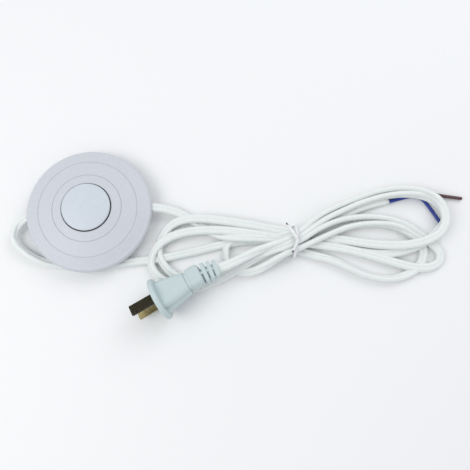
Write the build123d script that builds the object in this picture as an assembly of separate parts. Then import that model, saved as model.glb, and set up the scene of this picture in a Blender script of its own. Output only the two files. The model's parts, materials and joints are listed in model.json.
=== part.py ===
from build123d import *
import math
import os

# Power cord with a round foot switch moulded in two shells, a flanged two-pin plug and a stripped free end.
# The cord is wound into a loose figure of eight and held by a twist tie.
# Origin: centre of the switch on the surface it stands on. The cord leaves the switch along -X and +X.

os.makedirs("parts", exist_ok=True)

# Switch case
caseRadius = 40.0
partingHeight = 7.4
rimTop = 9.0
rimSetback = 0.5
shoulderReach = 2.4
coverWall = 2.0
groove1Radius = 31.3
groove1Height = 13.6
groove2Radius = 21.8
groove2Height = 15.6
grooveWidth = 0.8
grooveDepth = 0.35
buttonHoleRadius = 15.7
buttonHoleHeight = 17.1
holeChamfer = 0.35
guideDepth = 3.2

# Base
footLift = 0.8
baseFloor = 2.0
footRadius = 30.0
shoulderHeight = 4.8
lipWall = 1.2
lipRise = 1.8
fit = 0.3

# Push button
buttonGap = 0.5
buttonEdge = 18.5
edgeRound = 0.8
crownRise = 1.5
buttonWall = 1.8
buttonTravel = 3.5
retainerWidth = 1.6
retainerThick = 1.2
stemRadius = 2.5
pinRadius = 0.6
pinReach = 1.7

# Turning mechanism
rotorRadius = 6.6
rotorPlate = 1.2
rotorTeeth = 8
toothRise = 0.8
sleeveWall = 1.7
sleeveRise = 5.9
pivotRadius = 1.45
pivotDepth = 1.2
pivotFit = 0.05
turnPerPress = 45.0
bridgeThick = 0.5
bridgeWidth = 3.2
contactThick = 0.3
contactWidth = 3.0
housingWall = 1.3
earThick = 1.6
housingScrewHead = 1.9
springWire = 0.8
springTurns = 5.0

# Terminals and clamps
terminalSide = 6.0
terminalHeight = 6.4
cradleWall = 1.2
cradleRise = 1.7
terminalX = footRadius - 17.5
terminalY = footRadius - 12.0
linkY = 8.2 - footRadius
linkLength = 14.0
wireHole = 2.6
screwRadius = 1.5
screwHead = 2.5
screwHeadRise = 1.4
clampX = footRadius - 5.0
clampWidth = 5.0
clampThick = 1.8
clampScrewY = 6.2
clampSpan = 17.0
neckSide = 5.5

# Case screws and rubber feet
caseScrewAngles = (90.0, 210.0, 330.0)
caseScrewRing = footRadius - 5.6
bossRadius = 3.2
caseScrewRadius = 1.25
caseScrewHead = 2.7
footAngles = (30.0, 150.0, 270.0)
footRing = footRadius - 7.5
padRadius = 4.0
padRecess = 0.5

# Flat two-core cord
cordWidth = 5.8
cordThick = 3.6
coreRadius = 1.1
coreOffset = 1.4
surfaceGap = 0.05
jacketInner = clampX - 3.5
jacketJoin = footRadius + 0.5
mouthFit = 0.5

# Plug
plugFace = (41.7, -61.3, 13.7)
plugYaw = 24.5
plugTilt = 6.5
plugRoll = -10.5
flangeRadius = 13.5
flangeThick = 3.2
bodyLength = 19.4
bodyWidth = 17.0
bodyHeight = 18.0
neckWidth = 12.0
neckHeight = 12.5
ledgeExtra = 2.6
ledgeFlare = 2.0
ledgeHeight = 5.4
ledgeEnd = 1.8
waistWidth = 10.6
collarLength = 8.4
collarWidth = 13.0
collarRound = 1.5
collarShift = 0.7
collarHeight = 11.5
reliefRibs = 3
reliefPitch = 3.4
reliefSlot = 1.1
reliefWidth = 12.9
reliefHeight = 8.6
reliefTaper = 0.8
spineWidth = 1.8
reliefTurn = -2.8
reliefDrop = 3.0
bladeLength = 16.2
bladeWidth = 6.35
bladeThick = 1.5
bladeSpacing = 12.7
bladeRoot = 7.0

# Hank and tie
hankStart = 30.0
hankEnd = 240.0
hankSide = 20.0
hankLow = 4.6
hankTop = 8.2
waistTop = 13.0
tieX = 128.0
tieWidth = 2.6
tieThick = 0.7
waistYmin = -39.0
waistYmax = -20.6

buttonRadius = buttonHoleRadius - buttonGap
buttonCeiling = buttonEdge - 1.1
floorTop = footLift + baseFloor
terminalBore = floorTop + 3.0
cordHeight = partingHeight
mouthWidth = cordWidth + 2 * mouthFit
mouthThick = cordThick + 2 * mouthFit
rotorBottom = floorTop + contactThick + 0.2 + bridgeThick
sleeveInner = stemRadius + 0.4
sleeveOuter = sleeveInner + sleeveWall
sleeveTop = rotorBottom + rotorPlate + sleeveRise
stemBottom = rotorBottom + rotorPlate + buttonTravel + 0.4
pinHeight = stemBottom + pinRadius + 0.3
springRadius = sleeveOuter + fit + housingWall + fit + springWire / 2
housingShelf = rotorBottom + rotorPlate + toothRise + fit
housingRadius = springRadius + springWire / 2 + 1.0
housingScrewY = housingRadius + 2.4
housingScrewRadius = 1.05


def polar(radius, degrees, height=0.0):
    return Vector(radius * math.cos(math.radians(degrees)), radius * math.sin(math.radians(degrees)), height)


def disc(radius, bottom, top, centre=(0.0, 0.0)):
    return Pos(centre[0], centre[1], (bottom + top) / 2) * Cylinder(radius, top - bottom)


def block(x0, x1, y0, y1, z0, z1):
    return Pos((x0 + x1) / 2, (y0 + y1) / 2, (z0 + z1) / 2) * Box(x1 - x0, y1 - y0, z1 - z0)


def turned(lines):
    return revolve(Plane.XZ * make_face(lines), Axis.Z)


def save(shape, name):
    shape.label = name
    export_step(shape, f"parts/{name}.step")


def stadium(width, height):
    return SlotOverall(width, height)


# Straight stadium bar along X, used for the cord in the case and for the holes that it needs
def flatBar(x0, x1, width, height, z):
    return Pos(x0, 0, z) * extrude(Plane.YZ * stadium(width, height), x1 - x0)


# Cord jackets held by the clamps, inside the case
def innerJacket(side):
    bar = flatBar(jacketInner, jacketJoin, cordWidth, cordThick, cordHeight)
    return bar if side > 0 else Rot(0, 0, 180) * bar


def coverOuter():
    rim = Line((caseRadius - rimSetback, partingHeight), (caseRadius, partingHeight + 0.6))
    wall = Line(rim @ 1, (caseRadius, rimTop))
    shoulderEnd = (caseRadius - shoulderReach, rimTop + shoulderReach - 0.1)
    shoulder = TangentArc(wall @ 1, shoulderEnd, tangent=wall % 1)
    slope = Line(shoulder @ 1, (groove1Radius + grooveWidth / 2, groove1Height - 0.15))
    return [rim, wall, shoulder, slope]


def ringGroove(radius, height):
    halfWidth = grooveWidth / 2
    lines = Polyline(
        (radius - halfWidth, height + 0.6),
        (radius - halfWidth * 0.45, height - grooveDepth),
        (radius + halfWidth * 0.45, height - grooveDepth),
        (radius + halfWidth, height + 0.6),
        close=True,
    )
    return turned(lines)


def makeCover():
    outer = coverOuter()
    mid = Line(outer[-1] @ 1, (groove2Radius, groove2Height))
    crown = Line(mid @ 1, (buttonHoleRadius + holeChamfer, buttonHoleHeight))
    edge = Line(crown @ 1, (buttonHoleRadius, buttonHoleHeight - holeChamfer))
    guide = Line(edge @ 1, (buttonHoleRadius, buttonHoleHeight - guideDepth))
    guideFoot = Line(guide @ 1, (buttonHoleRadius + 1.8, buttonHoleHeight - guideDepth))
    inner = Polyline(
        guideFoot @ 1,
        (buttonHoleRadius + 1.8, buttonHoleHeight - coverWall - 0.4),
        (groove2Radius, groove2Height - coverWall),
        (groove1Radius, groove1Height - coverWall),
        (caseRadius - coverWall - 0.9, rimTop + 0.3),
        (caseRadius - coverWall - 0.9, partingHeight),
        outer[0] @ 0,
    )
    cover = turned(outer + [mid, crown, edge, guide, guideFoot, inner])
    cover -= ringGroove(groove1Radius, groove1Height)
    cover -= ringGroove(groove2Radius, groove2Height)
    inside = turned(Polyline(
        (0, 0), (caseRadius - 1.0, 0), (caseRadius - 1.0, rimTop),
        (groove1Radius, groove1Height - 0.9), (groove2Radius, groove2Height - 0.9), (0, groove2Height - 0.9),
        close=True,
    ))
    for angle in caseScrewAngles:
        spot = polar(caseScrewRing, angle)
        boss = disc(bossRadius, shoulderHeight + 0.4, groove1Height + 1, (spot.X, spot.Y))
        cover += boss & inside
        cover -= disc(caseScrewRadius + 0.05, 0, groove1Height - coverWall, (spot.X, spot.Y))
    for side in (-1, 1):
        mouth = flatBar(caseRadius - 8, caseRadius + 2, mouthWidth, mouthThick, cordHeight)
        cover -= mouth if side > 0 else Rot(0, 0, 180) * mouth
    return cover


def makeBase():
    foot = Polyline((0, footLift), (footRadius - 0.8, footLift), (footRadius, footLift + 0.8),
                    (footRadius, shoulderHeight - 0.8), (footRadius + 0.8, shoulderHeight),
                    (caseRadius - 3.4, shoulderHeight + 0.1))
    sweepUp = ThreePointArc(foot @ 1, (caseRadius - 1.3, shoulderHeight + 0.9),
                            (caseRadius - rimSetback, partingHeight))
    lipOuter = caseRadius - coverWall - 0.9 - fit
    top = Polyline(sweepUp @ 1, (lipOuter, partingHeight), (lipOuter, partingHeight + lipRise),
                   (lipOuter - lipWall, partingHeight + lipRise), (lipOuter - lipWall, shoulderHeight + baseFloor),
                   (footRadius - 1.2, shoulderHeight + baseFloor), (footRadius - baseFloor, shoulderHeight + 0.6),
                   (footRadius - baseFloor, floorTop), (0, floorTop), (0, footLift))
    base = turned([foot, sweepUp, top])

    # Necks under the cord mouths, and the saddles on which the cords lie
    for side in (-1, 1):
        neck = block(footRadius - baseFloor, caseRadius - 2.2, -neckSide, neckSide,
                     cordHeight - cordThick / 2 - 1.5, cordHeight)
        saddle = block(clampX - clampWidth / 2, clampX + clampWidth / 2, -clampSpan / 2, clampSpan / 2,
                       floorTop, cordHeight - cordThick / 2)
        pillars = block(clampX - clampWidth / 2, clampX + clampWidth / 2, clampScrewY - 2.1, clampSpan / 2,
                        floorTop, cordHeight + cordThick / 2 - 0.2)
        pillars += mirror(pillars, Plane.XZ)
        if side < 0:
            neck, saddle, pillars = (Rot(0, 0, 180) * shape for shape in (neck, saddle, pillars))
        base += neck + saddle + pillars
        mouth = flatBar(footRadius - 4, caseRadius + 2, mouthWidth, mouthThick, cordHeight)
        lead = flatBar(jacketInner - 1, footRadius - 3, cordWidth, cordThick, cordHeight)
        cut = mouth + lead
        for y in (-clampScrewY, clampScrewY):
            cut += disc(screwRadius + 0.05, floorTop, cordHeight + 4, (clampX, y))
        base -= cut if side > 0 else Rot(0, 0, 180) * cut

    for angle in caseScrewAngles:
        spot = polar(caseScrewRing, angle)
        base += disc(bossRadius + 0.8, footLift + 0.1, shoulderHeight + 0.4, (spot.X, spot.Y))
        base -= disc(caseScrewRadius + fit, 0, 20, (spot.X, spot.Y))
        base -= disc(caseScrewHead + fit, 0, footLift + 1.5, (spot.X, spot.Y))
    for angle in footAngles:
        spot = polar(footRing, angle)
        base -= disc(padRadius, 0, footLift + padRecess, (spot.X, spot.Y))

    # Pivot hole of the rotor, holes for the housing screws, and the cradles of the terminals
    base -= disc(pivotRadius + pivotFit, floorTop - pivotDepth, floorTop + 1)
    for side in (-1, 1):
        base -= disc(housingScrewRadius, floorTop - 1.2, floorTop + 1, (0, side * housingScrewY))
    for x, y, length in terminalPlaces():
        halfLong, halfWide = length / 2, terminalSide / 2
        wall = block(x - halfLong - cradleWall, x + halfLong + cradleWall, y - halfWide - cradleWall,
                     y + halfWide + cradleWall, floorTop, floorTop + cradleRise)
        wall -= block(x - halfLong, x + halfLong, y - halfWide, y + halfWide, floorTop, 20)
        wall -= block(x - 2.0, x + 2.0, y - 20, y + 20, floorTop, 20)
        base += wall
    return base


def terminalPlaces():
    return (
        (-terminalX, terminalY, terminalSide),
        (terminalX, terminalY, terminalSide),
        (0.0, linkY, linkLength),
    )


# Shallow dome whose centre lies on the axis of the button
def domeArc(start, apexHeight):
    rise = apexHeight - start.Y
    radius = (start.X ** 2 + rise ** 2) / (2 * rise)
    half = math.asin(start.X / radius) / 2
    middle = (radius * math.sin(half), apexHeight - radius * (1 - math.cos(half)))
    return ThreePointArc(start, middle, (0, apexHeight))


def makeButton():
    skirtBottom = buttonHoleHeight - guideDepth - fit - retainerThick
    skirtInner = buttonRadius - buttonWall
    lipRadius = buttonRadius + retainerWidth
    collarOuter = springRadius - springWire / 2 - 0.25
    under = Polyline(
        (0, stemBottom), (stemRadius, stemBottom), (stemRadius, buttonCeiling), (collarOuter - 1.0, buttonCeiling),
        (collarOuter - 1.0, buttonCeiling - 1.6), (collarOuter, buttonCeiling - 1.6), (collarOuter, buttonCeiling),
        (skirtInner - 1.6, buttonCeiling), (skirtInner, buttonCeiling - 1.2), (skirtInner, skirtBottom),
        (lipRadius, skirtBottom), (lipRadius, skirtBottom + retainerThick),
        (buttonRadius, skirtBottom + retainerThick), (buttonRadius, buttonEdge - edgeRound),
    )
    edge = TangentArc(under @ 1, (buttonRadius - edgeRound, buttonEdge), tangent=(0, 1))
    dome = domeArc(edge @ 1, buttonEdge + crownRise)
    button = turned([under, edge, dome, Line(dome @ 1, under @ 0)])
    for index in range(4):
        web = block(springRadius + springWire, skirtInner + 0.4, -0.6, 0.6, buttonCeiling - 1.4,
                    buttonCeiling + 0.2)
        button += Rot(0, 0, 45 + 90 * index) * web
    pin = Pos(0, 0, pinHeight) * Rot(0, 90, 0) * Cylinder(pinRadius, 2 * (stemRadius + pinReach))
    return button + pin


# Cam sleeve: two helical slots turn it by turnPerPress while the pin of the button goes down by buttonTravel
def makeRotor():
    plateTop = rotorBottom + rotorPlate
    rotor = disc(rotorRadius, rotorBottom, plateTop)
    rotor += disc(sleeveOuter, plateTop - 0.1, sleeveTop)
    rotor -= disc(sleeveInner, plateTop, sleeveTop + 1)
    rotor += disc(pivotRadius, floorTop - pivotDepth + 0.1, rotorBottom + 0.1)
    for index in range(rotorTeeth):
        tooth = Polyline((0, 0), (3.4, 0), (3.4, toothRise), close=True)
        ramp = Rot(90, 0, 0) * extrude(make_face(tooth), sleeveOuter + 0.6 - rotorRadius)
        rotor += Rot(0, 0, index * 360 / rotorTeeth) * Pos(-1.7, sleeveOuter + 0.3, plateTop) * ramp
    slotPitch = buttonTravel * 360 / turnPerPress
    slotWidth = 2 * (pinRadius + fit)
    rise = sleeveTop + 0.8 - (pinHeight - buttonTravel)
    helix = Helix(pitch=slotPitch, height=rise, radius=sleeveInner + sleeveWall / 2)
    start = Plane(origin=helix @ 0, x_dir=(1, 0, 0), z_dir=helix % 0)
    groove = sweep(start * Rectangle(sleeveWall + 1.6, slotWidth), path=helix, is_frenet=True)
    groove = Pos(0, 0, pinHeight - buttonTravel) * groove
    mouth = Pos(sleeveInner + sleeveWall / 2, 0, pinHeight - buttonTravel) * Rot(0, 90, 0)
    groove += mouth * Cylinder(slotWidth / 2, sleeveWall + 1.6)
    for side in (0, 180):
        rotor -= Rot(0, 0, side - turnPerPress) * groove
    return rotor


# Brass bar under the rotor, which joins the two fixed contacts in one position and parts them in the next
def makeBridge():
    bar = block(-rotorRadius + 0.6, rotorRadius - 0.6, -bridgeWidth / 2, bridgeWidth / 2,
                rotorBottom - bridgeThick, rotorBottom)
    bar -= disc(pivotRadius, 0, 20)
    tips = disc(rotorRadius - 0.6, rotorBottom - bridgeThick, rotorBottom)
    return bar & tips


# Housing over the rotor: it keeps the rotor on its pivot and carries the foot of the button spring
def makeHousing():
    housing = disc(housingRadius, floorTop, housingShelf + housingWall)
    housing += disc(sleeveOuter + fit + housingWall, housingShelf, sleeveTop - 0.2)
    housing -= disc(rotorRadius + fit, floorTop - 1, housingShelf)
    housing -= disc(sleeveOuter + fit, housingShelf - 1, sleeveTop + 1)
    reach = housingRadius + 1
    housing -= block(-reach, reach, -contactWidth / 2 - fit, contactWidth / 2 + fit, floorTop - 1,
                     floorTop + contactThick + 0.5)
    for side in (-1, 1):
        ear = block(-2.6, 2.6, housingRadius - 1.0, housingRadius + 4.6, floorTop, floorTop + earThick)
        housing += ear if side > 0 else Rot(0, 0, 180) * ear
        housing -= disc(housingScrewRadius, 0, floorTop + 4, (0, side * housingScrewY))
    return housing


def housingScrews():
    screws = []
    seat = floorTop + earThick
    for side in (-1, 1):
        spot = (0, side * housingScrewY)
        screw = disc(housingScrewRadius - 0.02, floorTop - 1.0, seat, spot)
        screw += disc(housingScrewHead, seat, seat + 1.0, spot)
        screw -= block(-0.3, 0.3, spot[1] - 3, spot[1] + 3, seat + 0.5, seat + 4)
        screws.append(screw)
    return screws


def makeSpring():
    bottom = housingShelf + housingWall + springWire / 2
    top = buttonCeiling - springWire / 2 - surfaceGap
    path = Helix(pitch=(top - bottom) / springTurns, height=top - bottom, radius=springRadius)
    start = Plane(origin=path @ 0, x_dir=(1, 0, 0), z_dir=path % 0)
    coil = sweep(start * Circle(springWire / 2), path=path, is_frenet=True)
    return Pos(0, 0, bottom) * coil


# Fixed contact: a flat strip on the floor, from the rotor out to its terminal cage
def makeContact(side):
    blockY = terminalY - terminalSide / 2
    turnX = rotorRadius + 5.4
    strip = block(rotorRadius - 2.4, turnX + contactWidth / 2, -contactWidth / 2, contactWidth / 2, floorTop,
                  floorTop + contactThick)
    strip += block(turnX - contactWidth / 2, turnX + contactWidth / 2, -contactWidth / 2, blockY + 1,
                   floorTop, floorTop + contactThick)
    cage = block(terminalX - terminalSide / 2, terminalX + terminalSide / 2, blockY, blockY + terminalSide,
                 floorTop, floorTop + terminalHeight)
    cage -= Pos(terminalX, terminalY, terminalBore) * Rot(90, 0, 0) * Cylinder(wireHole / 2, terminalSide + 1)
    cage -= disc(screwRadius + 0.05, terminalBore, floorTop + terminalHeight + 1, (terminalX, terminalY))
    contact = strip + cage
    return contact if side > 0 else mirror(contact, Plane.YZ)


# Through connector that joins the two blue cores
def makeLink():
    bar = block(-linkLength / 2, linkLength / 2, linkY - terminalSide / 2, linkY + terminalSide / 2, floorTop,
                floorTop + terminalHeight)
    bar -= Pos(0, linkY, terminalBore) * Rot(0, 90, 0) * Cylinder(wireHole / 2, linkLength + 1)
    for x in (-linkLength / 4, linkLength / 4):
        bar -= disc(screwRadius + 0.05, terminalBore, floorTop + terminalHeight + 1, (x, linkY))
    return fillet(bar.edges().filter_by(Axis.X).group_by(Axis.Z)[-1], 1.0)


def terminalScrews():
    tip = terminalBore + coreRadius + 0.1
    seat = floorTop + terminalHeight + 0.6
    screws = []
    places = [(-terminalX, terminalY), (terminalX, terminalY)]
    places += [(-linkLength / 4, linkY), (linkLength / 4, linkY)]
    for x, y in places:
        screw = disc(screwRadius, tip, seat, (x, y)) + disc(screwHead, seat, seat + screwHeadRise, (x, y))
        screw -= block(x - 4, x + 4, y - 0.35, y + 0.35, seat + 0.5, seat + 4)
        screws.append(screw)
    return screws


def makeClamp(side):
    bottom = cordHeight + cordThick / 2
    bar = block(clampX - clampWidth / 2, clampX + clampWidth / 2, -clampSpan / 2, clampSpan / 2, bottom,
                bottom + clampThick)
    bar = fillet(bar.edges().filter_by(Axis.Z), 1.2)
    for y in (-clampScrewY, clampScrewY):
        bar -= disc(screwRadius + 0.1, bottom - 1, bottom + 4, (clampX, y))
    return bar if side > 0 else Rot(0, 0, 180) * bar


def clampScrews():
    seat = cordHeight + cordThick / 2 + clampThick
    screws = []
    for x in (-clampX, clampX):
        for y in (-clampScrewY, clampScrewY):
            screw = disc(screwRadius, floorTop + 0.4, seat, (x, y))
            screw += disc(screwHead - 0.2, seat, seat + 1.0, (x, y))
            screw -= block(x - 4, x + 4, y - 0.35, y + 0.35, seat + 0.4, seat + 4)
            screws.append(screw)
    return screws


def caseScrews():
    screws = []
    for angle in caseScrewAngles:
        spot = polar(caseScrewRing, angle)
        centre = (spot.X, spot.Y)
        headTop = footLift + 1.5
        screw = disc(caseScrewHead, headTop - 1.3, headTop, centre)
        screw += disc(caseScrewRadius, headTop, groove1Height - coverWall - 0.6, centre)
        for turn in (0, 90):
            slot = Pos(spot.X, spot.Y, headTop - 1.3) * Rot(0, 0, turn) * Box(3.0, 0.6, 1.2)
            screw -= slot
        screws.append(screw)
    return screws


def rubberFeet():
    feet = []
    for angle in footAngles:
        spot = polar(footRing, angle)
        foot = disc(padRadius, 0, footLift + padRecess, (spot.X, spot.Y))
        feet.append(chamfer(foot.edges().group_by(Axis.Z)[0], 0.3))
    return feet


# Tube along a route of straight runs and tangent arcs, each arc as large as its two runs allow
def cordRadii(points, share=0.45):
    radii = []
    for before, corner, after in zip(points, points[1:], points[2:]):
        first = Vector(*corner) - Vector(*before)
        second = Vector(*after) - Vector(*corner)
        turn = math.radians(first.get_angle(second))
        radii.append(share * min(first.length, second.length) / math.tan(turn / 2))
    return radii


def cordPath(points, share=0.45):
    return FilletPolyline(*points, radius=cordRadii(points, share))


def sweepFlat(points, width, height):
    path = cordPath(points)
    ahead = path % 0
    across = Vector(0, 0, 1).cross(ahead)
    start = Plane(origin=path @ 0, x_dir=across, z_dir=ahead)
    tube = sweep(start * stadium(width, height), path=path)
    whole = stadium(width, height).area * path.length
    print("  length", round(path.length, 1), "volume ratio", round(tube.volume / whole, 4))
    return tube


def sweepRound(points, radius, share=0.45):
    path = cordPath(points, share)
    return sweep(Plane(origin=path @ 0, z_dir=path % 0) * Circle(radius), path=path)


lowCord = cordThick / 2 + surfaceGap
lowLead = lowCord + 0.45

leadLeft = [
    (-jacketJoin, 0, cordHeight), (-41.4, 0, cordHeight), (-50.6, -4.6, 5.6), (-53.6, -14.6, 3.4), (-46.4, -22.6, 2.2),
    (-35.0, -28.9, lowLead), (-20.5, -33.6, lowLead), (-5.0, -37.2, lowLead), (10.5, -37.0, lowLead),
    (24.0, -34.6, lowLead), (37.0, -34.3, lowLead),
]
leadRight = [(jacketJoin, 0, cordHeight), (42.4, 0, cordHeight), (53.6, -3.0, 4.6), (62.6, -8.6, 2.6)]
tailRun = [(159.4, -16.2, 3.4), (170.6, -12.2, 2.4), (182.4, -9.2, lowCord), (194.2, -7.4, lowCord)]

plugPlace = Pos(*plugFace) * Rot(0, 0, plugYaw) * Rot(0, -plugTilt, 0) * Rot(plugRoll, 0, 0)


# Plug in its own frame: the face at x = 0, the cord towards +X, the blades one above the other
def section(x, width, height, corner):
    return Plane(origin=(x, 0, 0), x_dir=(0, 1, 0), z_dir=(1, 0, 0)) * RectangleRounded(width, height, corner)


def reliefStations():
    stations = []
    spot = Pos(flangeThick + bodyLength + collarLength, 0, 0)
    for index in range(reliefRibs):
        spot = spot * Rot(0, reliefDrop, reliefTurn) * Pos(reliefPitch, 0, 0)
        stations.append((index, spot))
    return stations


def ribSize(index):
    return reliefWidth - index * reliefTaper, reliefHeight - index * reliefTaper


# Strain relief: thick ribs parted by narrow slots, with a spine along the middle and a sleeve round the cord
def makeRelief():
    relief = None
    for index, place in reliefStations():
        width, height = ribSize(index)
        rib = place * extrude(section(reliefSlot - reliefPitch, width, height, 2.2), reliefPitch - reliefSlot)
        back = -reliefPitch - 0.4
        sleeve = place * extrude(section(back, cordWidth + 1.4, cordThick + 1.4, 2.0), reliefPitch)
        spine = place * extrude(section(back, spineWidth, height - 0.3, 0.5), reliefPitch)
        step = rib + sleeve + spine
        relief = step if relief is None else relief + step
    return relief


def makePlugBody():
    flange = Pos(flangeThick / 2, 0, 0) * Rot(0, 90, 0) * Cylinder(flangeRadius, flangeThick)
    flange = fillet(flange.edges().filter_by(GeomType.CIRCLE), 1.1)
    bodyEnd = flangeThick + bodyLength
    body = loft([
        section(flangeThick - 0.2, bodyWidth, bodyHeight, 3.4),
        section(flangeThick + bodyLength * 0.45, bodyWidth * 0.93, bodyHeight * 0.86, 3.2),
        section(bodyEnd - ledgeEnd, neckWidth, neckHeight, 3.0),
    ])
    ledge = loft([
        section(flangeThick - 0.2, bodyWidth + ledgeExtra + ledgeFlare, ledgeHeight + 1.4, 2.2),
        section(flangeThick + bodyLength * 0.3, bodyWidth + ledgeExtra - 0.6, ledgeHeight, 2.0),
        section(bodyEnd - ledgeEnd, neckWidth + ledgeExtra, ledgeHeight - 0.8, 1.9),
    ])
    waist = extrude(section(bodyEnd - ledgeEnd - 0.5, waistWidth, neckHeight - 1.6, 2.4), ledgeEnd + 1.0)
    collar = Pos(bodyEnd, collarShift, 0) * extrude(section(0, collarWidth, collarHeight, 3.2), collarLength)
    collar = fillet(collar.edges().group_by(Axis.X)[-1] + collar.edges().group_by(Axis.X)[0], collarRound)
    plug = flange + body + ledge + waist + collar + makeRelief()
    for side in (-1, 1):
        plug -= Pos(0, 0, side * bladeSpacing / 2) * block(-1, bladeRoot, -bladeWidth / 2, bladeWidth / 2,
                                                          -bladeThick / 2, bladeThick / 2)
    return plugPlace * plug


def makeBlade(side):
    blade = block(-bladeLength, bladeRoot, -bladeWidth / 2, bladeWidth / 2, -bladeThick / 2, bladeThick / 2)
    blade = chamfer(blade.faces().sort_by(Axis.X)[0].edges(), 0.4)
    return plugPlace * Pos(0, 0, side * bladeSpacing / 2) * blade


# Hank: outer shape of the wound cord, open where its loops are open
hankOutline = [
    (35.1, -35.4), (37.3, -29.1), (41.3, -23.6), (45.5, -17.2), (51.0, -11.6), (58.3, -7.8), (66.9, -6.4),
    (76.6, -7.6), (86.2, -10.8), (97.0, -14.6), (107.1, -18.2), (117.0, -20.4), (128.0, -20.0), (136.5, -17.6),
    (145.0, -13.6), (155.3, -8.2), (165.6, -4.4), (176.0, -1.2), (185.0, 1.2), (194.5, 2.6), (204.5, 3.0),
    (213.7, 1.6), (221.6, -1.8), (228.2, -6.6), (232.4, -12.0), (233.6, -18.8), (232.2, -26.0), (228.6, -31.6),
    (225.2, -36.6), (226.0, -43.5), (223.2, -50.4), (217.5, -54.8), (208.0, -57.4), (199.4, -60.0),
    (191.5, -61.2), (183.0, -61.2), (174.0, -59.0), (162.4, -53.2), (150.4, -46.2), (139.4, -41.2),
    (128.5, -39.4), (119.0, -40.0), (111.0, -44.6), (103.6, -49.6), (96.5, -50.8), (88.0, -49.8), (78.0, -53.6),
    (68.5, -57.0), (58.4, -57.4), (49.6, -53.6), (41.4, -48.4), (36.6, -42.4),
]
holeLeftUpper = [(47.6, -27.2), (56.3, -22.4), (66.0, -21.4), (75.5, -23.4), (66.5, -27.4), (56.0, -29.4)]
holeLeftLower = [
    (47.6, -36.6), (58.8, -34.9), (71.7, -33.2), (81.6, -31.8), (80.6, -36.4), (68.0, -42.6), (54.6, -45.0),
]
holeRightUpper = [
    (166.5, -14.2), (177.0, -11.6), (189.0, -10.2), (199.0, -9.3), (209.4, -9.6), (216.8, -12.6), (221.2, -18.2),
    (222.6, -24.1), (219.1, -29.4), (214.3, -31.6), (206.0, -25.4), (196.5, -19.2), (184.5, -15.5), (174.0, -14.3),
]
holeRightLower = [
    (154.5, -27.9), (163.5, -25.8), (174.6, -24.3), (186.0, -24.8), (195.6, -27.6), (202.2, -31.4), (205.0, -34.6),
    (197.2, -35.7), (184.4, -34.1), (171.9, -31.2), (160.6, -28.8),
]


def closedFace(points):
    return make_face(Spline(*points, periodic=True))


def makeHank():
    plan = closedFace(hankOutline)
    for hole in (holeLeftUpper, holeLeftLower, holeRightUpper, holeRightLower):
        plan -= closedFace(hole)
    hank = Pos(0, 0, surfaceGap) * extrude(plan, waistTop + 1.0)
    side = Polyline(
        (hankStart, 0.0), (hankStart, hankLow), (hankStart + 14.0, hankTop - 1.0), (tieX - 32.0, hankTop),
        (tieX - 16.0, waistTop - 1.2), (tieX - 9.0, waistTop), (tieX + 9.0, waistTop), (tieX + 19.0, waistTop - 1.2),
        (tieX + 44.0, hankTop), (hankEnd, hankTop - 0.6), (hankEnd, 0.0), close=True,
    )
    profile = Pos(0, hankSide, 0) * extrude(Plane.XZ * make_face(side), 5 * hankSide)
    hank &= profile
    # The turns lie flat under the body of the plug, and the upper loops ride over the free end
    low = plugPlace * block(-6, 44, -16, 11, -12, 14)
    low &= block(0, 100, -90, -20, cordThick + 0.5, 40)
    hank -= low
    under = Polyline((159.0, -19.5), (159.0, 10.0), (242.0, 10.0), (242.0, -27.5), (212.0, -27.5),
                     (203.0, -13.6), close=True)
    hank -= extrude(make_face(under), cordThick + 0.3)
    return hank


def makeTie():
    place = Pos(tieX, (waistYmin + waistYmax) / 2, (waistTop + tieThick) / 2 + surfaceGap)
    ring = Box(tieWidth, waistYmax - waistYmin + 2 * tieThick, waistTop + tieThick)
    ring = fillet(ring.edges().filter_by(Axis.X), 2.4)
    bore = Box(tieWidth + 1, waistYmax - waistYmin, waistTop - tieThick)
    bore = fillet(bore.edges().filter_by(Axis.X), 1.8)
    return place * (ring - bore)


# Insulated cores from the end of a jacket to their terminals
def coreRoute(side, toLink):
    if toLink:
        points = [(jacketInner, -coreOffset, cordHeight), (jacketInner - 5.9, -coreOffset, cordHeight),
                  (jacketInner - 6.9, linkY + 10.3, 6.6), (linkLength / 2 + 6.8, linkY, terminalBore),
                  (linkLength / 2 - 1.5, linkY, terminalBore)]
    else:
        points = [(jacketInner, coreOffset, cordHeight), (jacketInner - 6.1, coreOffset, cordHeight),
                  (terminalX, terminalY - 9.6, 6.2),
                  (terminalX, terminalY - terminalSide / 2 + 1.5, terminalBore)]
    return [(side * x, y, z) for x, y, z in points]


def makeCore(side, toLink):
    return sweepRound(coreRoute(side, toLink), coreRadius)


tailEnd = Vector(*tailRun[-1])
tailAhead = (tailEnd - Vector(*tailRun[-2])).normalized()
tailAcross = Vector(0, 0, 1).cross(tailAhead)


# The two cores stick out of the end of the jacket side by side
def endRoute(offset, points):
    start = tailEnd + tailAcross * offset
    first = start + tailAhead * 5.0
    return [tuple(start), tuple(first)] + points


brownEnd = endRoute(coreOffset, [(206.8, -4.2, 1.3), (218.6, -3.8, 1.2), (231.0, -6.4, 1.3), (243.1, -9.1, 1.2)])
blueEnd = endRoute(
    -coreOffset,
    [(205.6, -6.9, 1.3), (212.2, -7.6, 1.2), (217.6, -12.0, 1.2), (221.4, -18.6, 1.2), (225.7, -25.8, 1.2)],
)

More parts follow.
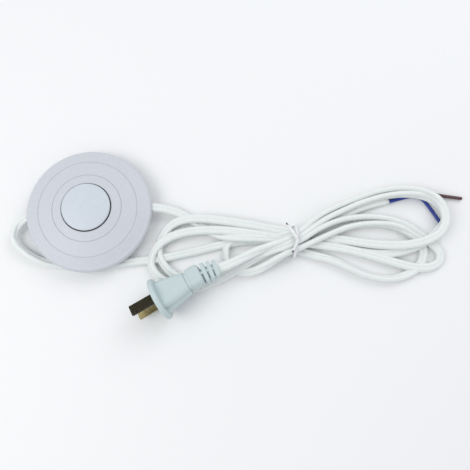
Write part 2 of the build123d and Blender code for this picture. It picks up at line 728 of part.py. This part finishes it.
nodes = {}
nodes["top_cover"] = makeCover()
nodes["base_plate"] = makeBase()
nodes["push_button"] = makeButton()
nodes["button_spring"] = makeSpring()
nodes["mechanism_housing"] = makeHousing()
nodes["cam_rotor"] = makeRotor()
nodes["contact_bridge"] = makeBridge()
nodes["live_contact_in"] = makeContact(-1)
nodes["live_contact_out"] = makeContact(1)
nodes["neutral_link"] = makeLink()
nodes["terminal_screws"] = Compound(children=terminalScrews())
nodes["housing_screws"] = Compound(children=housingScrews())
nodes["cord_clamp_left"] = makeClamp(-1)
nodes["cord_clamp_right"] = makeClamp(1)
nodes["clamp_screws"] = Compound(children=clampScrews())
nodes["case_screws"] = Compound(children=caseScrews())
nodes["rubber_feet"] = Compound(children=rubberFeet())
nodes["inner_jacket_left"] = innerJacket(-1)
nodes["inner_jacket_right"] = innerJacket(1)
nodes["brown_core_left"] = makeCore(-1, False)
nodes["brown_core_right"] = makeCore(1, False)
nodes["blue_core_left"] = makeCore(-1, True)
nodes["blue_core_right"] = makeCore(1, True)
nodes["plug_body"] = makePlugBody()
nodes["plug_blade_upper"] = makeBlade(1)
nodes["plug_blade_lower"] = makeBlade(-1)

reliefEnd = plugPlace * reliefStations()[-1][1]
plugRun = [
    tuple(reliefEnd.position),
    tuple((reliefEnd * Pos(7.0, 0, 0)).position),
    (95.4, -39.6, 14.6),
    (104.2, -36.4, 12.4),
    (111.8, -33.6, 11.0),
]
routes = {"cord_left": leadLeft, "cord_right": leadRight, "plug_cord": plugRun, "cord_tail": tailRun}
for name, route in routes.items():
    print(name, "radii", [round(radius, 1) for radius in cordRadii(route)])
    nodes[name] = sweepFlat(route, cordWidth, cordThick)
nodes["tail_brown_core"] = sweepRound(brownEnd, coreRadius)
nodes["tail_blue_core"] = sweepRound(blueEnd, coreRadius)
nodes["twist_tie"] = makeTie()
nodes["cord_hank"] = makeHank() - nodes["twist_tie"]

for name, shape in nodes.items():
    save(shape, name)
print(len(nodes), "nodes")
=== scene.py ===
import bmesh
import bpy
import json
import math
from mathutils import Matrix, Vector


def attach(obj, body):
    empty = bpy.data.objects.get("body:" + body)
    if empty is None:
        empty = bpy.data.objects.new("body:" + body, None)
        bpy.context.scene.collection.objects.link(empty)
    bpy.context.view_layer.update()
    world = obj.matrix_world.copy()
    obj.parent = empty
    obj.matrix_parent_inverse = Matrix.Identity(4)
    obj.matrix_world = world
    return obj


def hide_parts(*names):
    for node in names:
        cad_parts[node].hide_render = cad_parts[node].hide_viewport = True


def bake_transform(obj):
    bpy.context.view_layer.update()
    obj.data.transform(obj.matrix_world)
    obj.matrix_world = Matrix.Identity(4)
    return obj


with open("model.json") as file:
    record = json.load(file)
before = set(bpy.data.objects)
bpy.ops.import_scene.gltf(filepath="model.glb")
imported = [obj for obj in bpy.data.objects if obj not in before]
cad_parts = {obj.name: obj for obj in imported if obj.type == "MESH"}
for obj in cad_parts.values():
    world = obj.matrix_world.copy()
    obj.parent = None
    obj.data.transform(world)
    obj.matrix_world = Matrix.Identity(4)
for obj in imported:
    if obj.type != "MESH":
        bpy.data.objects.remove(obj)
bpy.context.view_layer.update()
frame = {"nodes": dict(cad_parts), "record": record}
upward = Vector((0, 0, 1))

# The camera looks down from a little in front of the cord, at the angle of the photograph
view = {
    "spot": (0.0860, -0.0946, 0.3181), "aim": (0.0919, -0.0214, 0.0),
    "turn": -4.6, "lens": 38.3, "sensor": 36,  # degrees, millimetres, millimetres
}


def addCamera():
    data = bpy.data.cameras.new("camera")
    data.lens = view["lens"]
    data.sensor_width = view["sensor"]
    camera = bpy.data.objects.new("camera", data)
    bpy.context.collection.objects.link(camera)
    spot = Vector(view["spot"])
    back = (spot - Vector(view["aim"])).normalized()
    turn = math.radians(view["turn"])
    right = Vector((math.cos(turn), math.sin(turn), 0))
    right = (right - back * right.dot(back)).normalized()
    up = back.cross(right)
    place = Matrix((right, up, back)).transposed().to_4x4()
    place.translation = spot
    camera.matrix_world = place
    bpy.context.scene.camera = camera


addCamera()
print("camera")

# Routes of the cord, from the switch outwards
# The last value of a point is the turn of the flat section, in degrees
# Long piece: out of the right mouth, round the right loop three times and the left twice, to the plug
longRoute = [
    (0.0305, 0.0000, 0.0074, 0), (0.0415, -0.0002, 0.0073, 0), (0.0541, -0.0036, 0.0047, 0),
    (0.0603, -0.0068, 0.0029, 0), (0.0665, -0.0114, 0.0021, 15), (0.0739, -0.0171, 0.0022, 20),
    (0.0821, -0.0221, 0.0034, 10), (0.0929, -0.0245, 0.0056, 0), (0.1044, -0.0258, 0.0058, 0),
    (0.1152, -0.0271, 0.0054, 0), (0.1285, -0.0296, 0.0054, 0), (0.1459, -0.0330, 0.0034, 0),
    (0.1617, -0.0369, 0.0025, 0), (0.1740, -0.0410, 0.003, 0), (0.1849, -0.0454, 0.003, 0),
    (0.1953, -0.0495, 0.003, 0), (0.2065, -0.0529, 0.0025, 0), (0.2163, -0.0530, 0.0022, 0),
    (0.2222, -0.0489, 0.002, 0), (0.2221, -0.0423, 0.002, 0), (0.2160, -0.0359, 0.002, 0),
    (0.2069, -0.0272, 0.0025, 30), (0.1972, -0.0211, 0.0033, 60), (0.1843, -0.0176, 0.0036, 78),
    (0.1703, -0.0169, 0.0048, 85), (0.1572, -0.0190, 0.0068, 88), (0.1447, -0.0238, 0.009, 90),
    (0.1335, -0.0305, 0.0105, 90), (0.1223, -0.0347, 0.0105, 90), (0.1121, -0.0368, 0.009, 80),
    (0.1024, -0.0398, 0.007, 55), (0.0932, -0.0442, 0.005, 30), (0.0827, -0.0488, 0.003, 0),
    (0.0735, -0.0521, 0.002, 0), (0.0638, -0.0545, 0.0019, 0), (0.0543, -0.0534, 0.0019, 10),
    (0.0451, -0.0489, 0.0023, 30), (0.0390, -0.0432, 0.0027, 45), (0.0365, -0.0366, 0.003, 50),
    (0.0382, -0.0298, 0.0039, 40), (0.0441, -0.0237, 0.0052, 20), (0.0521, -0.0199, 0.0057, 0),
    (0.0619, -0.0180, 0.0057, 0), (0.0728, -0.0178, 0.0055, 0), (0.0837, -0.0189, 0.0054, 0),
    (0.0951, -0.0208, 0.0054, 0), (0.1059, -0.0234, 0.0052, 0), (0.1154, -0.0255, 0.005, 0),
    (0.1290, -0.0285, 0.00185, 0), (0.1493, -0.0328, 0.002, 0), (0.1649, -0.0377, 0.002, 0),
    (0.1786, -0.0415, 0.0022, 0), (0.1919, -0.0424, 0.0032, 0), (0.2040, -0.0404, 0.005, 0),
    (0.2147, -0.0359, 0.0056, 0), (0.2232, -0.0298, 0.0050, 4), (0.2300, -0.0228, 0.0043, 8),
    (0.2276, -0.0134, 0.0043, 22), (0.2192, -0.0066, 0.0049, 58), (0.2062, -0.0038, 0.0052, 78),
    (0.1916, -0.0042, 0.005, 82), (0.1759, -0.0076, 0.0054, 85), (0.1619, -0.0127, 0.007, 88),
    (0.1479, -0.0185, 0.009, 90), (0.1338, -0.0279, 0.0105, 90), (0.1231, -0.0323, 0.011, 90),
    (0.1116, -0.0347, 0.01, 80), (0.1013, -0.0380, 0.008, 55), (0.0908, -0.0429, 0.006, 30),
    (0.0808, -0.0482, 0.004, 0), (0.0716, -0.0516, 0.002, 0), (0.0621, -0.0509, 0.0019, 0),
    (0.0534, -0.0470, 0.0022, 25), (0.0467, -0.0409, 0.0026, 42), (0.0426, -0.0338, 0.0027, 48),
    (0.0420, -0.0265, 0.0027, 48), (0.0442, -0.0201, 0.0027, 35), (0.0489, -0.0140, 0.0034, 15),
    (0.0551, -0.0105, 0.0046, 0), (0.0636, -0.0094, 0.0054, 0), (0.0733, -0.0102, 0.0054, 0),
    (0.0841, -0.0124, 0.0054, 0), (0.0955, -0.0150, 0.0054, 0), (0.1062, -0.0176, 0.0054, 0),
    (0.1160, -0.0206, 0.0046, 0), (0.1295, -0.0229, 0.00185, 0), (0.1454, -0.0275, 0.002, 0),
    (0.1607, -0.0304, 0.0022, 0), (0.1750, -0.0344, 0.0036, 0), (0.1894, -0.0373, 0.0054, 0),
    (0.2017, -0.0384, 0.008, 0), (0.2120, -0.0370, 0.0092, 0), (0.2218, -0.0330, 0.0090, 4),
    (0.2270, -0.0260, 0.0086, 10), (0.2277, -0.0172, 0.0083, 20), (0.2245, -0.0086, 0.0070, 50),
    (0.2155, -0.0024, 0.0057, 75), (0.2026, 0.0002, 0.0052, 82), (0.1878, -0.0008, 0.0052, 82),
    (0.1719, -0.0051, 0.0056, 85), (0.1577, -0.0100, 0.0072, 88), (0.1457, -0.0153, 0.009, 90),
    (0.1328, -0.0252, 0.0105, 90), (0.1234, -0.0298, 0.0114, 90), (0.1129, -0.0330, 0.0126, 70),
    (0.1038, -0.0360, 0.0138, 40), (0.0954, -0.0396, 0.015, 15), (0.0852, -0.0439, 0.0174, 5),
    (0.0794, -0.0454, 0.0175, 0), (0.0765, -0.0462, 0.0175, 0),
]

# Short piece: out of the left mouth, under the switch, round the right loop and a small left one
shortRoute = [
    (-0.0305, 0.0000, 0.0074, 0), (-0.0390, -0.0001, 0.0074, 0), (-0.0446, -0.0030, 0.0064, 20),
    (-0.0492, -0.0078, 0.0050, 50), (-0.0500, -0.0146, 0.0042, 62), (-0.0455, -0.0206, 0.0037, 60),
    (-0.0385, -0.0262, 0.0031, 45), (-0.0290, -0.0306, 0.0025, 25), (-0.0190, -0.0328, 0.0020, 8),
    (-0.0090, -0.0338, 0.00185, 0), (-0.0004, -0.0341, 0.00185, 0),
    (0.0104, -0.0342, 0.00185, 0), (0.0214, -0.0342, 0.00185, 0), (0.0342, -0.0341, 0.00185, 0),
    (0.0445, -0.0335, 0.00185, 0), (0.0555, -0.0319, 0.00185, 0), (0.0685, -0.0301, 0.00185, 0),
    (0.0816, -0.0277, 0.00185, 0), (0.0921, -0.0265, 0.00185, 0), (0.1038, -0.0265, 0.00185, 0),
    (0.1154, -0.0277, 0.00185, 0), (0.1285, -0.0334, 0.00185, 0), (0.1389, -0.0386, 0.0021, 10),
    (0.1513, -0.0425, 0.0025, 35), (0.1634, -0.0494, 0.0028, 50), (0.1741, -0.0554, 0.0028, 55),
    (0.1865, -0.0586, 0.0028, 50), (0.1976, -0.0573, 0.0025, 35), (0.2067, -0.0529, 0.002, 10),
    (0.2118, -0.0454, 0.002, 0), (0.2118, -0.0375, 0.002, 0), (0.2064, -0.0308, 0.0023, 20),
    (0.1968, -0.0244, 0.0031, 55), (0.1832, -0.0218, 0.0034, 75), (0.1677, -0.0223, 0.0046, 85),
    (0.1538, -0.0266, 0.0065, 88), (0.1419, -0.0314, 0.0085, 90), (0.1318, -0.0354, 0.01, 90),
    (0.1213, -0.0384, 0.01, 85), (0.1135, -0.0425, 0.008, 60), (0.1045, -0.0464, 0.005, 30),
    (0.0974, -0.0474, 0.0033, 30), (0.0900, -0.0456, 0.0036, 65), (0.0852, -0.0396, 0.0034, 85),
    (0.0846, -0.0318, 0.0029, 65), (0.0876, -0.0256, 0.0021, 20), (0.0975, -0.0252, 0.0024, 0),
    (0.1139, -0.0278, 0.0054, 0), (0.1290, -0.0244, 0.0054, 0), (0.1401, -0.0238, 0.005, 0),
    (0.1526, -0.0189, 0.004, 0), (0.1666, -0.0131, 0.003, 0), (0.1806, -0.0086, 0.002, 0),
    (0.1942, -0.0064, 0.00185, 0),
]

# Both insulated cores lie apart where the jacket is stripped
brownRoute = [
    (0.1928, -0.0050, 0.0018), (0.1990, -0.0042, 0.0016), (0.2060, -0.0026, 0.0013),
    (0.2130, -0.0017, 0.0012), (0.2220, -0.0038, 0.0013), (0.2310, -0.0064, 0.0014),
    (0.2431, -0.0091, 0.0014),
]
blueRoute = [
    (0.1924, -0.0078, 0.0018), (0.1985, -0.0068, 0.0016), (0.2055, -0.0054, 0.0013),
    (0.2116, -0.0045, 0.0012), (0.2167, -0.0062, 0.0012), (0.2204, -0.0120, 0.0013),
    (0.2238, -0.0192, 0.0014), (0.2272, -0.0264, 0.0016),
]

# Flat two-core jacket, with rounded sides and a shallow dip between the cores
jacket = {
    "width": 0.0058, "thick": 0.0036, "dip": 0.00034, "rimSteps": 8, "steps": 7,
    "dipReach": 0.35, "shares": (0.5, 0.18, 0.0, -0.18, -0.5),  # shares of the flat part
    "colour": (0.775, 0.812, 0.793), "rough": 0.38,
}

# Insulated cores at the stripped end
core = {"width": 0.0022, "steps": 8, "bevel": 5}


def routeCurve(name, points):
    data = bpy.data.curves.new(name, "CURVE")
    data.dimensions = "3D"
    spline = data.splines.new("NURBS")
    spline.points.add(len(points) - 1)
    for spot, point in zip(spline.points, points):
        spot.co = (point[0], point[1], point[2], 1)
    spline.order_u = 3
    spline.use_endpoint_u = True
    piece = bpy.data.objects.new(name, data)
    bpy.context.collection.objects.link(piece)
    return piece


def plainMesh(holder):
    bpy.context.view_layer.update()
    ready = holder.evaluated_get(bpy.context.evaluated_depsgraph_get())
    return bpy.data.meshes.new_from_object(ready)


# Points of a route's smooth line, read from its curve with no bevel
def smoothLine(name, points):
    holder = routeCurve(name, points)
    data = holder.data
    data.resolution_u = jacket["steps"]
    shape = plainMesh(holder)
    line = [vertex.co.copy() for vertex in shape.vertices]
    bpy.data.meshes.remove(shape)
    bpy.data.objects.remove(holder)
    bpy.data.curves.remove(data)
    return line


# Value along the line of something that is given at each point of the route
def spreadAlong(values, count):
    last = len(values) - 1
    result = []
    for index in range(count):
        reach = index / (count - 1) * (last - 1) + 0.5
        reach = min(max(reach, 0), last)
        low = min(int(reach), last - 1)
        share = reach - low
        share = share * share * (3 - 2 * share)
        result.append(values[low] * (1 - share) + values[low + 1] * share)
    return result


def jacketSection():
    halfWide, halfThick = jacket["width"] / 2, jacket["thick"] / 2
    flat = halfWide - halfThick
    ring = []
    for index in range(jacket["rimSteps"] + 1):
        angle = math.radians(index * 180 / jacket["rimSteps"] - 90)
        ring.append((flat + halfThick * math.cos(angle), halfThick * math.sin(angle)))
    for share in jacket["shares"]:
        dip = jacket["dip"] * max(0, 1 - abs(share) / jacket["dipReach"])
        ring.append((flat * share, halfThick - dip))
    return ring + [(-x, -y) for x, y in ring]


def headingAt(line, index):
    return (line[min(index + 1, len(line) - 1)] - line[max(index - 1, 0)]).normalized()


# Walls between the rings of a swept section, and a flat cap at each end
def tubeFaces(count, size, first=0):
    faces = []
    for index in range(count - 1):
        for step in range(size):
            low, high = index * size + step, index * size + (step + 1) % size
            faces.append((low, high, high + size, low + size))
    faces.append(tuple(reversed(range(size))))
    faces.append(tuple(range((count - 1) * size, count * size)))
    return [tuple(corner + first for corner in face) for face in faces]


def fixNormals(shape):
    work = bmesh.new()
    work.from_mesh(shape)
    bmesh.ops.recalc_face_normals(work, faces=work.faces)
    work.to_mesh(shape)
    work.free()


def meshPiece(name, corners, faces):
    shape = bpy.data.meshes.new(name)
    shape.from_pydata([tuple(corner) for corner in corners], [], faces)
    shape.validate()
    fixNormals(shape)
    for polygon in shape.polygons:
        polygon.use_smooth = len(polygon.vertices) == 4  # walls smooth, caps flat
    piece = bpy.data.objects.new(name, shape)
    bpy.context.collection.objects.link(piece)
    return piece


def sweepJacket(name, points):
    line = smoothLine(name + "_line", points)
    turns = spreadAlong([point[3] for point in points], len(line))
    section = jacketSection()
    corners = []
    for index, spot in enumerate(line):
        ahead = headingAt(line, index)
        side = ahead.cross(upward).normalized()
        top = side.cross(ahead).normalized()
        turn = math.radians(turns[index])
        across = side * math.cos(turn) + top * math.sin(turn)
        over = top * math.cos(turn) - side * math.sin(turn)
        corners += [spot + across * x + over * y for x, y in section]
    return meshPiece(name, corners, tubeFaces(len(line), len(section))), line


def lineLength(line):
    return sum((after - before).length for before, after in zip(line, line[1:]))


def roundCord(name, points):
    piece = routeCurve(name, points)
    piece.data.resolution_u = core["steps"]
    piece.data.bevel_depth = core["width"] / 2
    piece.data.bevel_resolution = core["bevel"]
    piece.data.use_fill_caps = True
    return piece


# Twist tie: a film strip with a wire along its middle, closed under the bundle, with two cut ends on top
tie = {
    "width": 0.0018, "thick": 0.0005, "ridge": 0.0009, "middle": (0.1290, -0.0297, 0.0070),
    "loop": [
        (0.1282, -0.0295, 0.0007), (0.1284, -0.0370, 0.0006), (0.1280, -0.0398, 0.0022),
        (0.1280, -0.0404, 0.0075), (0.1283, -0.0387, 0.0124), (0.1290, -0.0350, 0.0146),
        (0.1298, -0.0305, 0.0152), (0.1303, -0.0258, 0.0148), (0.1305, -0.0218, 0.0125),
        (0.1303, -0.0198, 0.0075), (0.1296, -0.0196, 0.0022), (0.1286, -0.0222, 0.0006),
        (0.1282, -0.0295, 0.0007),
    ],
    "ends": [
        [
            (0.1297, -0.0306, 0.0161), (0.1288, -0.0280, 0.0162), (0.1272, -0.0250, 0.0160),
            (0.1249, -0.0208, 0.0150),
        ],
        [
            (0.1300, -0.0298, 0.0158), (0.1297, -0.0325, 0.0160), (0.1283, -0.0350, 0.0157),
            (0.1268, -0.0376, 0.0146),
        ],
    ],
    "wire": 0.00045, "sides": 10, "root": 0.0004, "bare": 0.0013,  # wire that the film leaves bare
}


def tieStrip(points, first):
    line = smoothLine("tie_line", points)
    middle = Vector(tie["middle"])
    halfWide, halfThick, ridge = tie["width"] / 2, tie["thick"] / 2, tie["ridge"] / 2
    section = [(-halfWide, -halfThick), (-ridge, -halfThick), (0, -ridge)]
    section += [(ridge, -halfThick), (halfWide, -halfThick)]
    section += [(-x, -y) for x, y in section]
    corners = []
    for index, spot in enumerate(line):
        ahead = headingAt(line, index)
        outward = Vector((0, spot.y - middle.y, spot.z - middle.z)).normalized()
        side = ahead.cross(outward).normalized()
        over = side.cross(ahead).normalized()
        corners += [spot + side * x + over * y for x, y in section]
    return corners, tubeFaces(len(line), len(section), first)


def makeTie():
    corners, faces = [], []
    for points in [tie["loop"]] + tie["ends"]:
        ring, sides = tieStrip(points, len(corners))
        corners += ring
        faces += sides
    return meshPiece("tie_strip", corners, faces)


# Wire that sticks out of both cut ends of the strip
def makeTieWire():
    corners, faces = [], []
    for points in tie["ends"]:
        tip, before = Vector(points[-1]), Vector(points[-2])
        ahead = (tip - before).normalized()
        side = ahead.cross(upward).normalized()
        over = side.cross(ahead)
        faces += tubeFaces(2, tie["sides"], len(corners))
        for reach in (-tie["root"], tie["bare"]):
            for step in range(tie["sides"]):
                angle = math.radians(360 / tie["sides"] * step)
                spoke = side * math.cos(angle) + over * math.sin(angle)
                corners.append(tip + ahead * reach + spoke * tie["wire"])
    return meshPiece("tie_wire", corners, faces)


longCord, longLine = sweepJacket("long_cord", longRoute)
shortCord, shortLine = sweepJacket("short_cord", shortRoute)
brownCore = roundCord("brown_core_end", brownRoute)
blueCore = roundCord("blue_core_end", blueRoute)
tieFilm = makeTie()
tieWire = makeTieWire()
print("cords", round(lineLength(longLine), 4), round(lineLength(shortLine), 4))

# Grain that all finishes share: noise detail, ends of its colour ramp, height, and depth of the soft ones
grainFinish = {"detail": 3, "low": 0.3, "high": 0.7, "height": 0.0004, "depth": 0.004, "depthScale": 0.3}
looks = {}


# Fine grain in the colour, and a slight unevenness of the gloss
def moulded(name, colour, rough, grain=0.02, bump=0.02, scale=420, metal=0.0, soft=0.0):
    material = bpy.data.materials.new(name)
    material.use_nodes = True
    tree = material.node_tree
    shader = tree.nodes["Principled BSDF"]
    place = tree.nodes.new("ShaderNodeTexCoord")
    noise = tree.nodes.new("ShaderNodeTexNoise")
    noise.inputs["Scale"].default_value = scale
    noise.inputs["Detail"].default_value = grainFinish["detail"]
    ramp = tree.nodes.new("ShaderNodeValToRGB")
    low, high = ramp.color_ramp.elements
    low.position = grainFinish["low"]
    low.color = tuple(value * (1 - grain) for value in colour) + (1,)
    high.position = grainFinish["high"]
    high.color = tuple(min(1, value * (1 + grain)) for value in colour) + (1,)
    lift = tree.nodes.new("ShaderNodeBump")
    lift.inputs["Strength"].default_value = bump
    lift.inputs["Distance"].default_value = grainFinish["height"]
    tree.links.new(place.outputs["Object"], noise.inputs["Vector"])
    tree.links.new(noise.outputs["Fac"], ramp.inputs["Fac"])
    tree.links.new(ramp.outputs["Color"], shader.inputs["Base Color"])
    tree.links.new(noise.outputs["Fac"], lift.inputs["Height"])
    tree.links.new(lift.outputs["Normal"], shader.inputs["Normal"])
    shader.inputs["Roughness"].default_value = rough
    shader.inputs["Metallic"].default_value = metal
    shader.inputs["Subsurface Weight"].default_value = soft
    shader.inputs["Subsurface Radius"].default_value = (grainFinish["depth"],) * 3
    shader.inputs["Subsurface Scale"].default_value = grainFinish["depthScale"]
    looks[name] = material
    return material


moulded("cover_plastic", (0.58, 0.60, 0.645), 0.48, bump=0.03)
moulded("base_plastic", (0.60, 0.62, 0.66), 0.45, bump=0.03)
moulded("button_plastic", (0.59, 0.635, 0.69), 0.45, bump=0.02)
moulded("foot_rubber", (0.09, 0.09, 0.09), 0.75, grain=0.1, bump=0.15, scale=900)
moulded("mechanism_plastic", (0.72, 0.70, 0.62), 0.45)
moulded("terminal_brass", (0.60, 0.44, 0.18), 0.32, metal=1.0, bump=0.05, scale=1600)
moulded("plated_steel", (0.62, 0.62, 0.62), 0.28, metal=1.0, bump=0.03, scale=1600)
moulded("copper", (0.55, 0.24, 0.12), 0.35, metal=1.0, bump=0.0, scale=1600)
moulded("cord_jacket", jacket["colour"], jacket["rough"], soft=0.08)
moulded("brown_insulation", (0.090, 0.042, 0.048), 0.36)
moulded("blue_insulation", (0.004, 0.026, 0.26), 0.33)
moulded("plug_moulding", (0.52, 0.615, 0.625), 0.42, bump=0.04)
moulded("blade_brass", (0.32, 0.27, 0.13), 0.38, grain=0.3, metal=1.0, bump=0.08, scale=900)
# Upper blade: the same brass painted dark as a stand-in for the dark surroundings it reflects, with a
# coarse speckled grain
moulded("blade_brass_painted_reflection", (0.026, 0.023, 0.012), 0.42, grain=0.7, metal=0.8, bump=0.12, scale=1300)
moulded("wire_dark", (0.03, 0.04, 0.04), 0.4, metal=0.6)
moulded("tie_film", (0.80, 0.81, 0.82), 0.22, soft=0.1)

# Painted shade on the side of the button, down in its gap: its colour turns dark below a given height
gapShade = {"low": 0.0169, "high": 0.0176, "colour": (0.02, 0.024, 0.026, 1)}


def shadeGap(material):
    tree = material.node_tree
    colour = tree.nodes["Principled BSDF"].inputs["Base Color"]
    plain = colour.links[0].from_socket
    place = tree.nodes.new("ShaderNodeTexCoord")
    parts = tree.nodes.new("ShaderNodeSeparateXYZ")
    reach = tree.nodes.new("ShaderNodeMapRange")
    reach.inputs["From Min"].default_value = gapShade["low"]
    reach.inputs["From Max"].default_value = gapShade["high"]
    mix = tree.nodes.new("ShaderNodeMix")
    mix.data_type = "RGBA"
    share, dark, light = mix.inputs[0], mix.inputs[6], mix.inputs[7]
    # painted shade colour for the button's side down in the gap
    dark.default_value = gapShade["colour"]
    tree.links.new(place.outputs["Object"], parts.inputs["Vector"])
    tree.links.new(parts.outputs["Z"], reach.inputs["Value"])
    tree.links.new(reach.outputs["Result"], share)
    tree.links.new(plain, light)
    tree.links.new(mix.outputs[2], colour)


# the button's plastic gets painted shade down in its gap
shadeGap(looks["button_plastic"])


def dress(piece, slotName, look=None):
    piece.data.materials.clear()
    piece.data.materials.append(looks[look or slotName])


# Copper strands at the cut end of a core: one in the middle and two rings round it
strands = {"inner": 6, "outer": 12, "sides": 8, "step": 0.00021, "wire": 0.00010, "reach": 0.0006}


def strandTree():
    tree = bpy.data.node_groups.new("strand_rings", "GeometryNodeTree")
    tree.interface.new_socket("Geometry", in_out="OUTPUT", socket_type="NodeSocketGeometry")
    for name, value in strands.items():
        kind = "NodeSocketInt" if isinstance(value, int) else "NodeSocketFloat"
        tree.interface.new_socket(name, in_out="INPUT", socket_type=kind)
    given = tree.nodes.new("NodeGroupInput")
    result = tree.nodes.new("NodeGroupOutput")
    middle = tree.nodes.new("GeometryNodeMeshLine")
    middle.inputs["Count"].default_value = 1
    inner = tree.nodes.new("GeometryNodeMeshCircle")
    outer = tree.nodes.new("GeometryNodeMeshCircle")
    twice = tree.nodes.new("ShaderNodeMath")
    twice.operation = "MULTIPLY"
    twice.inputs[1].default_value = 2
    wire = tree.nodes.new("GeometryNodeMeshCylinder")
    join = tree.nodes.new("GeometryNodeJoinGeometry")
    place = tree.nodes.new("GeometryNodeInstanceOnPoints")
    real = tree.nodes.new("GeometryNodeRealizeInstances")
    paint = tree.nodes.new("GeometryNodeSetMaterial")
    paint.inputs["Material"].default_value = looks["copper"]
    for source, target in (
        (given.outputs["inner"], inner.inputs["Vertices"]),
        (given.outputs["outer"], outer.inputs["Vertices"]),
        (given.outputs["sides"], wire.inputs["Vertices"]),
        (given.outputs["step"], inner.inputs["Radius"]),
        (given.outputs["step"], twice.inputs[0]),
        (twice.outputs[0], outer.inputs["Radius"]),
        (given.outputs["wire"], wire.inputs["Radius"]),
        (given.outputs["reach"], wire.inputs["Depth"]),
        (middle.outputs["Mesh"], join.inputs["Geometry"]),
        (inner.outputs["Mesh"], join.inputs["Geometry"]),
        (outer.outputs["Mesh"], join.inputs["Geometry"]),
        (join.outputs["Geometry"], place.inputs["Points"]),
        (wire.outputs["Mesh"], place.inputs["Instance"]),
        (place.outputs["Instances"], real.inputs["Geometry"]),
        (real.outputs["Geometry"], paint.inputs["Geometry"]),
        (paint.outputs["Geometry"], result.inputs["Geometry"]),
    ):
        tree.links.new(source, target)
    return tree


def strandEnd(name, tree, route):
    holder = bpy.data.objects.new(name + "_tree", bpy.data.meshes.new(name + "_tree"))
    bpy.context.collection.objects.link(holder)
    change = holder.modifiers.new("strands", "NODES")
    change.node_group = tree
    for socket in tree.interface.items_tree:
        if socket.in_out == "INPUT":
            change[socket.identifier] = strands[socket.name]
    shape = plainMesh(holder)
    bpy.data.objects.remove(holder)
    tip, before = Vector(route[-1]), Vector(route[-2])
    turn = (tip - before).to_track_quat("Z", "Y").to_matrix().to_4x4()
    shape.transform(Matrix.Translation(tip) @ turn)
    piece = bpy.data.objects.new(name, shape)
    bpy.context.collection.objects.link(piece)
    return piece


rings = strandTree()
brownStrands = strandEnd("brown_strands", rings, brownRoute)
blueStrands = strandEnd("blue_strands", rings, blueRoute)

# Coil of the button, copied from the part with its loose corners merged
spring = {"foot": 0.0080, "head": 0.0168, "merge": 0.000001}


def makeCoil():
    shape = frame["nodes"]["button_spring"].data.copy()
    work = bmesh.new()
    work.from_mesh(shape)
    bmesh.ops.remove_doubles(work, verts=work.verts, dist=spring["merge"])
    work.to_mesh(shape)
    work.free()
    piece = bpy.data.objects.new("spring_coil", shape)
    bpy.context.collection.objects.link(piece)
    return piece


# The coil is pressed together between its foot on the housing and its head in the button
coil = makeCoil()
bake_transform(coil)
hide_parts("button_spring")

slotOf = {part["node"]: part["material_slot"] for part in frame["record"]["subparts"]}
for name, node in frame["nodes"].items():
    dress(node, slotOf[name])
dress(longCord, "cord_jacket")
dress(shortCord, "cord_jacket")
dress(brownCore, "brown_insulation")
dress(blueCore, "blue_insulation")
dress(brownStrands, "terminal_brass", "copper")
dress(blueStrands, "terminal_brass", "copper")
dress(coil, "plated_steel")
dress(tieFilm, "tie_film")
dress(tieWire, "plated_steel", "wire_dark")
# the upper blade takes the brass with painted dark reflection
dress(frame["nodes"]["plug_blade_upper"], "blade_brass", "blade_brass_painted_reflection")
print("materials")

for piece, nodes in (
    (longCord, ("cord_right", "plug_cord", "cord_hank")),
    (shortCord, ("cord_left", "cord_tail")),
    (brownCore, ("tail_brown_core",)),
    (blueCore, ("tail_blue_core",)),
    (tieFilm, ("twist_tie",)),
    (tieWire, ("twist_tie",)),
):
    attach(piece, "switch")
    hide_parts(*nodes)

for piece in (brownStrands, blueStrands):
    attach(piece, "switch")

print("cords declared")

# Pale floor
ground = {"reach": 4, "colour": (0.86, 0.865, 0.865), "rough": 0.7}


def addFloor():
    reach = ground["reach"]
    corners = [(-reach, -reach, 0), (reach, -reach, 0), (reach, reach, 0), (-reach, reach, 0)]
    shape = bpy.data.meshes.new("floor")
    shape.from_pydata(corners, [], [(0, 1, 2, 3)])
    floor = bpy.data.objects.new("floor", shape)
    bpy.context.collection.objects.link(floor)
    paint = moulded("floor_paint", ground["colour"], ground["rough"], grain=0.0, bump=0.0)
    floor.data.materials.append(paint)


# Soft lamps over the left end and over the far right, both turned to the middle of the cord
lamps = {
    "key": {"spot": (-0.48, -0.16, 0.70), "size": 0.6, "power": 2.6, "colour": (1.0, 0.99, 0.97)},
    "fill": {"spot": (0.6, 0.5, 0.7), "size": 0.7, "power": 2.45, "colour": (0.99, 0.99, 0.99)},
}
lampAim = (0.08, -0.02, 0)


def addLamp(name, lamp):
    data = bpy.data.lights.new(name, "AREA")
    data.shape = "DISK"
    data.size = lamp["size"]
    data.energy = lamp["power"]
    data.color = lamp["colour"]
    holder = bpy.data.objects.new(name, data)
    bpy.context.collection.objects.link(holder)
    holder.location = lamp["spot"]
    holder.rotation_mode = "QUATERNION"
    holder.rotation_quaternion = (Vector(lamp["spot"]) - Vector(lampAim)).to_track_quat("Z", "Y")


# Even light from all round
air = {"colour": (0.94, 0.96, 1.0, 1), "strength": 0.73}


def addAir():
    world = bpy.data.worlds.new("world")
    world.use_nodes = True
    background = world.node_tree.nodes["Background"]
    background.inputs["Color"].default_value = air["colour"]
    background.inputs["Strength"].default_value = air["strength"]
    bpy.context.scene.world = world


addFloor()
for name, lamp in lamps.items():
    addLamp(name, lamp)
addAir()
bpy.context.scene.view_settings.view_transform = "Standard"
print("stage")

bpy.context.view_layer.update()
